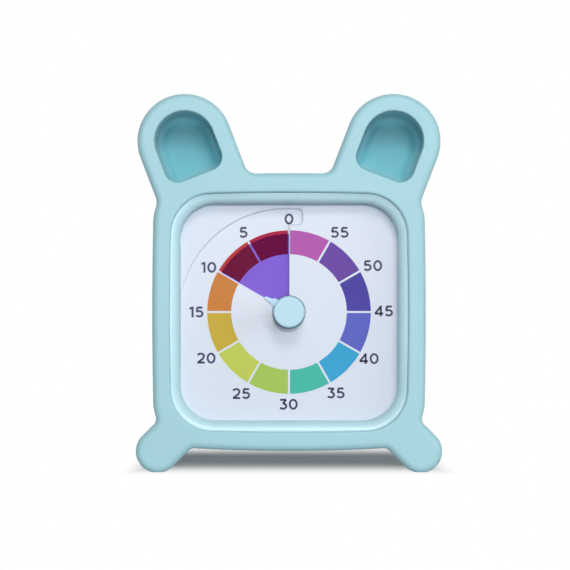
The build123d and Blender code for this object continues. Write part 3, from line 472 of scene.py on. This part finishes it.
def on_dial(across, up):
    """Point of the print, just proud of the dial's face."""
    return (dial_x + across, dial_depth(across, up) - print_height, dial_z + up)


def new_piece(name, points, faces, material, body):
    """Makes a mesh of points and faces, and lets it ride on a body of the model."""
    mesh = bpy.data.meshes.new(name)
    mesh.from_pydata(points, [], faces)
    mesh.materials.append(material)
    piece = bpy.data.objects.new(name, mesh)
    scene.collection.objects.link(piece)
    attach(piece, body)


print(f"the print stands {print_height / MM:.2f} mm proud")

# %% [markdown]
# ### Ring of fields
#
# Each field is a strip of quads between two radii. Straight white gaps part the fields: they
# are parallel-sided, so each end line is moved sideways by half a gap instead of by an angle.
# The ink is nearly matt, so its shader's specular level is low.

# %% Twelve fields
ring_outer = 27.0 * MM
ring_inner = 19.08 * MM
gap = 0.66 * MM
steps = 18
field_angle = pi / 6
ink_gloss = 0.06
field_tones = {
    "0_5": (176, 42, 72), "5_10": (187, 60, 65), "10_15": (205, 130, 66), "15_20": (202, 172, 68),
    "20_25": (194, 204, 92), "25_30": (166, 198, 94), "30_35": (76, 186, 166), "35_40": (64, 165, 210),
    "40_45": (98, 106, 196), "45_50": (83, 74, 164), "50_55": (110, 78, 164), "55_0": (180, 94, 174),
}

for index, (minutes, tone) in enumerate(field_tones.items()):
    ink = moulded(f"ink_{minutes}", colour(*tone), 0.6, 0.12, 0.001, mottle=0.02)
    ink.node_tree.nodes["Principled BSDF"].inputs["Specular IOR Level"].default_value = ink_gloss
    points = []
    for step in range(steps + 1):
        for radius in (ring_inner, ring_outer):
            half_gap = gap / 2 / radius
            first = noon + index * field_angle + half_gap
            last = noon + (index + 1) * field_angle - half_gap
            angle = first + (last - first) * step / steps
            points.append(on_dial(radius * cos(angle), radius * sin(angle)))
    faces = [(2 * i, 2 * i + 1, 2 * i + 3, 2 * i + 2) for i in range(steps)]
    new_piece(f"field_{minutes}", points, faces, ink, "case")
print(f"{len(field_tones)} fields, {steps} quads each")

# %% [markdown]
# ### Numerals
#
# The numerals are a plain geometric sans of one stroke width. A font would bring its own shapes
# with it, so each digit is drawn here as a few strokes: straight runs and arcs.
#
# A digit is its half width and its list of strokes, all in digit heights. A stroke follows the
# middle of its line; x counts from the digit's middle and y from its baseline. The inset keeps
# the outer edges of top and bottom strokes at about the digit's height.

# %% Digits as strokes
inset = 0.087


def arc(centre, radius_x, radius_y, start, end, count=16):
    """Points on an elliptical arc, angles in degrees counted anticlockwise."""
    points = []
    for step in range(count + 1):
        angle = radians(start + (end - start) * step / count)
        points.append((centre[0] + radius_x * cos(angle), centre[1] + radius_y * sin(angle)))
    return points


digits = {
    "0": (0.38, [arc((0, 0.5), 0.295, 0.5 - inset, 0, 360, 40)]),
    "1": (0.21, [[(0.09, 0), (0.09, 1)], [(0.09, 1 - inset), (-0.17, 0.80)]]),
    "2": (0.36, [arc((-0.01, 0.70), 0.265, 0.30 - inset, 165, -30) + [(0.18, 0.46), (-0.26, inset)],
                 [(-0.30, inset), (0.33, inset)]]),
    "3": (0.35, [[(-0.27, 1 - inset), (0.25, 1 - inset)], [(0.25, 1 - inset), (-0.02, 0.60)],
                 arc((-0.02, 0.325), 0.285, 0.325 - inset, 95, -148)]),
    "4": (0.39, [[(0.17, 0), (0.17, 1)], [(0.17, 1 - inset), (-0.32, 0.26)],
                 [(-0.35, 0.26), (0.38, 0.26)]]),
    "5": (0.35, [[(0.25, 1 - inset), (-0.22, 1 - inset)], [(-0.19, 1 - inset), (-0.23, 0.50)],
                 arc((-0.03, 0.335), 0.285, 0.335 - inset, 134, -150)]),
}
print(f"{len(digits)} digits of {sum(len(strokes) for _, strokes in digits.values())} strokes")

# %% [markdown]
# ### Ribbons of ink
#
# A stroke becomes a ribbon: at each point of its line, two points are set half a stroke's width
# to either side. All the ribbons of one numeral go into one mesh.

# %% Helper: a ribbon along a stroke
stroke = 0.70 * MM


def ribbon(spots, points, faces):
    """Adds the points and quads of a ribbon that follows a line of spots on the dial."""
    line = [Vector(spot) for spot in spots]
    first = len(points)
    for i, spot in enumerate(line):
        before, after = line[max(i - 1, 0)], line[min(i + 1, len(line) - 1)]
        along = (after - before).normalized()
        side = Vector((-along.y, along.x)) * stroke / 2
        for edge in (spot + side, spot - side):
            points.append(on_dial(edge.x, edge.y))
    for i in range(first, first + 2 * len(line) - 2, 2):
        faces.append((i, i + 1, i + 3, i + 2))


print(f"ribbons {stroke / MM:.2f} mm wide")

# %% [markdown]
# ### The numerals' places
#
# The numerals stand upright round the ring, each set a little off the even circle, as a printer does to
# make the spaces look equal. A place is the middle of its numeral, in millimetres from the dial's
# centre.

# %% Set the numerals round the ring
digit_height = 3.56 * MM
digit_stretch = 1.08
digit_gap = 0.13
number_places = {
    "0": (0, 30.756), "5": (-15.015, 26.301), "10": (-26.565, 14.751), "15": (-30.591, 0),
    "20": (-27.357, -15.213), "25": (-15.774, -26.928), "30": (-0.198, -30.459),
    "35": (15.444, -26.73), "40": (26.367, -15.378), "45": (31.251, 0.33),
    "50": (27.687, 15.312), "55": (16.764, 26.301),
}
unit_width = digit_height * digit_stretch
ink_navy = moulded("ink_numerals", colour(24, 18, 76), 0.5, 0.12, 0.001, mottle=0.02)

for number, (across, up) in number_places.items():
    points, faces = [], []
    width = sum(2 * digits[digit][0] for digit in number) + digit_gap * (len(number) - 1)
    pen = -width / 2
    for digit in number:
        half_width, strokes = digits[digit]
        for line in strokes:
            spots = [(across * MM + (pen + half_width + x) * unit_width,
                      up * MM + (y - 0.5) * digit_height) for x, y in line]
            ribbon(spots, points, faces)
        pen += 2 * half_width + digit_gap
    new_piece(f"numeral_{number}", points, faces, ink_navy, "case")
print(f"{len(number_places)} numerals, {digit_height / MM:.1f} mm high")

# %% [markdown]
# ### Screw recesses
#
# The four screws of the back have plain heads. A cross of two dark bars on each stands for the driver's
# recess: their dark grey is painted shade, the shadow inside the recess. Cutting it would change a
# loaded mesh, so the bars are laid on the heads. The heads are found in the screws' own mesh: the
# points of their outer faces are split by the four corners of the case.

# %% A cross on each case screw
cross_length = 1.5 * MM
cross_width = 0.42 * MM
cross_height = 0.02 * MM
flatness = 0.01 * MM
# painted shade: the bars' dark grey stands for the shadow inside each cross recess
recess_shade = moulded("recess_shade", colour(70, 71, 74), 0.45, 0.12, 0.001, metallic=0.6)
screws = nodes["case_screws"]
screw_points = [screws.matrix_world @ vertex.co for vertex in screws.data.vertices]
middle_z = sum(point.z for point in screw_points) / len(screw_points)
head_back = max(point.y for point in screw_points)
face_points = [point for point in screw_points if point.y > head_back - flatness]

points, faces = [], []
for side, level in ((-1, -1), (-1, 1), (1, -1), (1, 1)):
    head = [point for point in face_points if point.x * side > 0 and (point.z - middle_z) * level > 0]
    centre_x = (min(point.x for point in head) + max(point.x for point in head)) / 2
    centre_z = (min(point.z for point in head) + max(point.z for point in head)) / 2
    for length, width in ((cross_length, cross_width), (cross_width, cross_length)):
        first = len(points)
        for x, z in ((-length, -width), (-length, width), (length, width), (length, -width)):
            points.append((centre_x + x / 2, head_back + cross_height, centre_z + z / 2))
        faces.append((first, first + 1, first + 2, first + 3))
new_piece("screw_recesses", points, faces, recess_shade, "case")
print(f"crosses on {len(faces) // 2} screws")

# %% [markdown]
# ## Studio
#
# The camera looks straight along the dial's axis from 70 cm, with a long lens. The timer sits a
# little below the middle of the picture. The lens is shifted for that instead of tilted, which
# keeps upright lines upright. All sizes of the studio are in metres, except that Blender takes
# the sensor and the lens in millimetres.

# %% Camera
distance = 0.700
picture_width = 0.18525
view_aside = -0.0013
view_up = 0.008775
sensor = 36.0
camera_data = bpy.data.cameras.new("camera")
camera_data.sensor_width = sensor
camera_data.lens = sensor * distance / picture_width
camera_data.shift_x = view_aside / picture_width
camera_data.shift_y = view_up / picture_width
camera = bpy.data.objects.new("camera", camera_data)
camera.location = (dial_x, sleeve_front - distance, dial_z)
camera.rotation_euler = (pi / 2, 0, 0)
scene.collection.objects.link(camera)
scene.camera = camera
print(f"lens {camera_data.lens:.1f} mm")

# %% [markdown]
# ### Surroundings
#
# A weak and slightly blue world fills the shadows, as the walls of a room do. A stronger white
# one would make a white background, but it would also flatten the timer. So a ray that comes
# straight from the camera, through glass or off a mirror sees plain white, and all other rays
# see the weak blue.

# %% World
surround_tone = (0.86, 0.96, 1.0, 1.0)
surround_strength = 0.20
white = (1.0, 1.0, 1.0, 1.0)
world = bpy.data.worlds.new("studio")
scene.world = world
world.use_nodes = True
world_tree = world.node_tree
surround = world_tree.nodes["Background"]
surround.inputs["Color"].default_value = surround_tone
surround.inputs["Strength"].default_value = surround_strength
backdrop = world_tree.nodes.new("ShaderNodeBackground")
backdrop.inputs["Color"].default_value = white
backdrop.inputs["Strength"].default_value = 1.0
rays = world_tree.nodes.new("ShaderNodeLightPath")
seen = chain(world_tree, "MAXIMUM", rays.outputs["Is Camera Ray"], rays.outputs["Is Transmission Ray"])
seen = chain(world_tree, "MAXIMUM", seen, rays.outputs["Is Glossy Ray"])
mix_shaders(world_tree, seen, surround.outputs["Background"], backdrop.outputs["Background"],
            "World Output")
print(f"the surroundings light the timer at {surround_strength:.2f}")

# %% [markdown]
# ### Lamps
#
# Each lamp is a square area light that faces the dial. Its row gives its place, its size, its
# power and its tone. A sun or a point light would be simpler, but its shadows would be hard.
#
# The key lamp is a warm soft box above the camera: it draws the knob's short shadow down the
# dial. All the other lamps are a little cooler, so that shadow turns bluish. The right one draws
# the knob's second, fainter shadow. The front one stands low, so that it reaches the sunken dial
# past the rim, but high enough to keep its mirror image off the lens. The side one brightens the
# left wall of the window, and the rear one lifts the back and the edges.

# %% Five soft lamps
warm, cool = (1.0, 0.88, 0.80), (0.97, 1.0, 1.04)
lamps = {
    "key": ((0.10, -1.20, 0.67), 0.36, 5.1, warm),
    "right": ((0.36, -1.30, 0.26), 0.30, 2.3, cool),
    "front": ((0.03, -1.60, 0.250), 0.15, 7.65, cool),
    "side": ((1.20, -0.90, 0.30), 0.8, 4.4, cool),
    "rear": ((0.0, 1.60, 0.90), 1.5, 8.5, cool),
}
for name, (spot, size, watts, tone) in lamps.items():
    light = bpy.data.lights.new(name, "AREA")
    light.size = size
    light.energy = watts
    light.color = tone
    lamp = bpy.data.objects.new(name, light)
    lamp.location = spot
    aim = Vector((dial_x, 0, dial_z)) - lamp.location
    lamp.rotation_euler = aim.to_track_quat("-Z", "Y").to_euler()
    scene.collection.objects.link(lamp)
print(f"{len(lamps)} lamps, {sum(watts for _, _, watts, _ in lamps.values()):.1f} W together")

# %% [markdown]
# ### Floor
#
# The floor is a matt sheet that takes the timer's shadow. Everywhere but there it should look plain
# white without lighting the timer from below. So a white emission is mixed in for the camera and for
# mirrors only, and the mix fades out towards the shadow, which lies behind the paws. Two distances from
# the shadow's middle give the fade, one sideways and one front to back. Inside the fade the floor shows
# its own grey, so the patch's outline and part of its darkness are painted shadow, laid over the real
# cast shadow.

# %% Floor finish
shadow_middle = 0.045
fade_aside = (0.038, 0.056)
fade_away = (0.012, 0.080)
# painted shadow in part: this grey shows only inside the fade, darkening the patch round the cast
# shadow
floor_grey = (0.54, 0.54, 0.55, 1.0)
floor_finish = moulded("floor", floor_grey, 0.8, 2.0, 0.0, mottle=0.004)
floor_tree = floor_finish.node_tree
floor_shader = floor_tree.nodes["Principled BSDF"]
floor_shader.inputs["Specular IOR Level"].default_value = 0.0

floor_x, floor_y = own_place(floor_tree)[:2]
aside = chain(floor_tree, "ABSOLUTE", floor_x, 0.0)
away = chain(floor_tree, "ABSOLUTE", chain(floor_tree, "SUBTRACT", floor_y, shadow_middle), 0.0)
fade = chain(floor_tree, "MAXIMUM", map_value(floor_tree, aside, *fade_aside),
             map_value(floor_tree, away, *fade_away))
rays = floor_tree.nodes.new("ShaderNodeLightPath")
seen = chain(floor_tree, "MAXIMUM", rays.outputs["Is Camera Ray"], rays.outputs["Is Glossy Ray"])
glow = floor_tree.nodes.new("ShaderNodeEmission")
glow.inputs["Color"].default_value = white
glow.inputs["Strength"].default_value = 1.0
mix_shaders(floor_tree, chain(floor_tree, "MULTIPLY", fade, seen), floor_shader.outputs["BSDF"],
            glow.outputs["Emission"], "Material Output")
print(f"the shadow shows in full over {2 * fade_aside[0] / MM:.0f} mm of its width")

# %% [markdown]
# The floor itself is one large quad, far bigger than the timer, so that its edge never shows. The view
# transform is Standard, so a colour renders about as it is written.

# %% Floor and view
reach = 6.0
corners = [(-reach, -reach, 0), (reach, -reach, 0), (reach, reach, 0), (-reach, reach, 0)]
floor_mesh = bpy.data.meshes.new("floor")
floor_mesh.from_pydata(corners, [], [(0, 1, 2, 3)])
floor_mesh.materials.append(floor_finish)
floor = bpy.data.objects.new("floor", floor_mesh)
scene.collection.objects.link(floor)
scene.view_settings.view_transform = "Standard"
print(f"a floor of {2 * reach:.0f} by {2 * reach:.0f} m")
